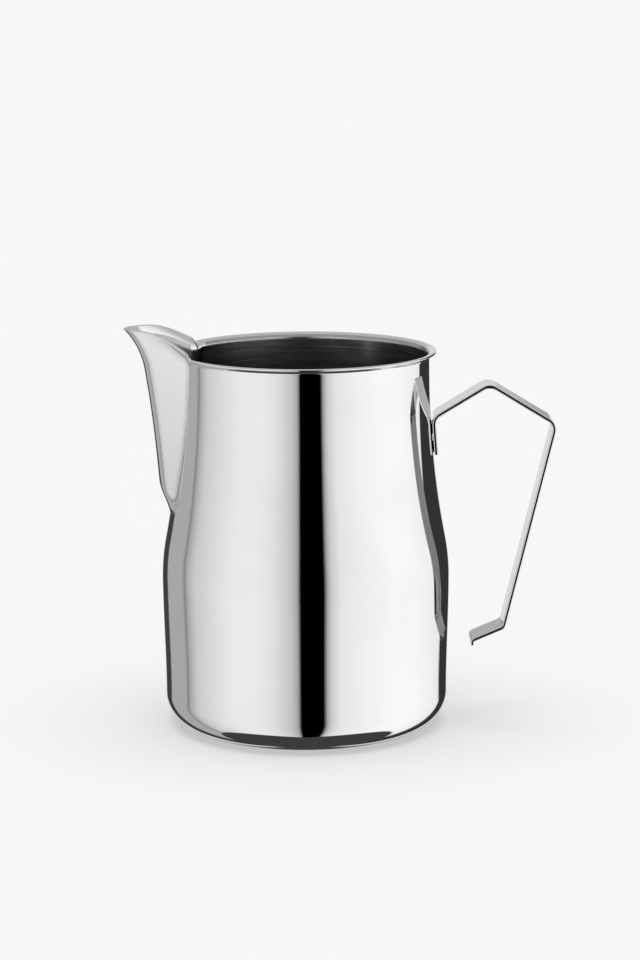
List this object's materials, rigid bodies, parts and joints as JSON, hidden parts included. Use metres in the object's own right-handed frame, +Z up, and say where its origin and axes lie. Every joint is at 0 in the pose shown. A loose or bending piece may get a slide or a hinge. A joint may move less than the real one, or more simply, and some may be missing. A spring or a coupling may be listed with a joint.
{
  "type": "milk frothing pitcher",
  "caption": "Polished steel milk frothing pitcher with a rounded belly, narrow neck, flared rim, welded pouring spout and open strap handle.",
  "frame": {"origin": "centre of the flat base, on the axis of the cup", "axes": "+Z up along the axis of the cup, spout towards -X, handle towards +X"},
  "size_m": [0.1279, 0.0862, 0.1194],
  "materials": {
    "polished_steel": "mirror-polished stainless steel, satin inside",
    "spout_steel": "mirror-polished stainless steel",
    "weld_metal": "ground and polished weld",
    "strap_steel": "polished stainless strap",
    "spot_metal": "dull spot-weld marks"
  },
  "bodies": {
    "root": {"body_shell": "polished_steel", "spout": "spout_steel", "spout_weld": "weld_metal", "handle": "strap_steel", "handle_spot_welds": "spot_metal"}
  },
  "joints": []
}
